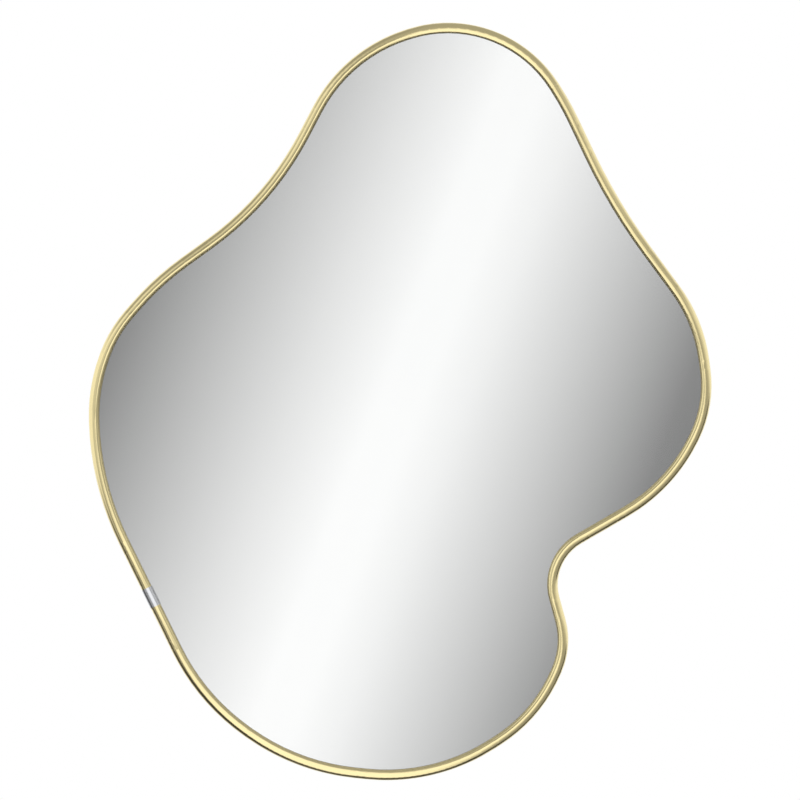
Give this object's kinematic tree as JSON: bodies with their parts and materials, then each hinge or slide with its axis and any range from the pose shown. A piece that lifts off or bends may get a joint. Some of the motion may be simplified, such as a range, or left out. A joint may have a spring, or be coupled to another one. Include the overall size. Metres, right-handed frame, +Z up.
{
  "type": "irregular shaped wall mirror",
  "caption": "Flat wall mirror with a flowing asymmetric outline in a slim gold strip frame, hung on D-rings.",
  "frame": {"origin": "centre of the outline's bounding box, on the wall plane at the frame's rear edge", "axes": "+Z up, +X to the right seen from the front, +Y into the wall, the mirror faces -Y"},
  "size_m": [0.6993, 0.0285, 0.8507],
  "materials": {
    "frame_gold": "gold anodised, satin to bright",
    "sleeve_chrome": "polished",
    "mirror_glass": "clear float glass",
    "mirror_silver": "silvered",
    "safety_film": "grey film",
    "gasket_foam": "matte foam",
    "tape_foam": "matte foam",
    "board_fibre": "raw fibre board",
    "steel_zinc": "zinc plated",
    "pad_rubber": "matte"
  },
  "bodies": {
    "mirror": {"frame_rim": "frame_gold", "joint_sleeve": "sleeve_chrome", "joint_plate": "steel_zinc", "joint_screws": "steel_zinc", "edge_gasket": "gasket_foam", "mirror_glass": "mirror_glass", "silver_coating": "mirror_silver", "safety_film": "safety_film", "backing_board": "board_fibre", "hanger_strap_left": "steel_zinc", "hanger_screws_left": "steel_zinc", "hanger_strap_right": "steel_zinc", "hanger_screws_right": "steel_zinc", "tape_strip_1": "tape_foam", "tape_strip_2": "tape_foam", "tape_strip_3": "tape_foam", "tape_strip_4": "tape_foam", "tape_strip_5": "tape_foam", "tape_strip_6": "tape_foam", "wall_pad_1": "pad_rubber", "wall_pad_2": "pad_rubber", "wall_pad_3": "pad_rubber", "wall_pad_4": "pad_rubber"},
    "ring_left": {"hanger_ring_left": "steel_zinc"},
    "ring_right": {"hanger_ring_right": "steel_zinc"}
  },
  "joints": [
    {"name": "ring_left_swing", "type": "hinge", "parent": "mirror", "child": "ring_left", "pos_m": [-0.13423, -0.00542, 0.18], "axis": [1, 0, 0], "range_deg": [0, 180]},
    {"name": "ring_right_swing", "type": "hinge", "parent": "mirror", "child": "ring_right", "pos_m": [0.12577, -0.00542, 0.18], "axis": [1, 0, 0], "range_deg": [0, 180]}
  ]
}
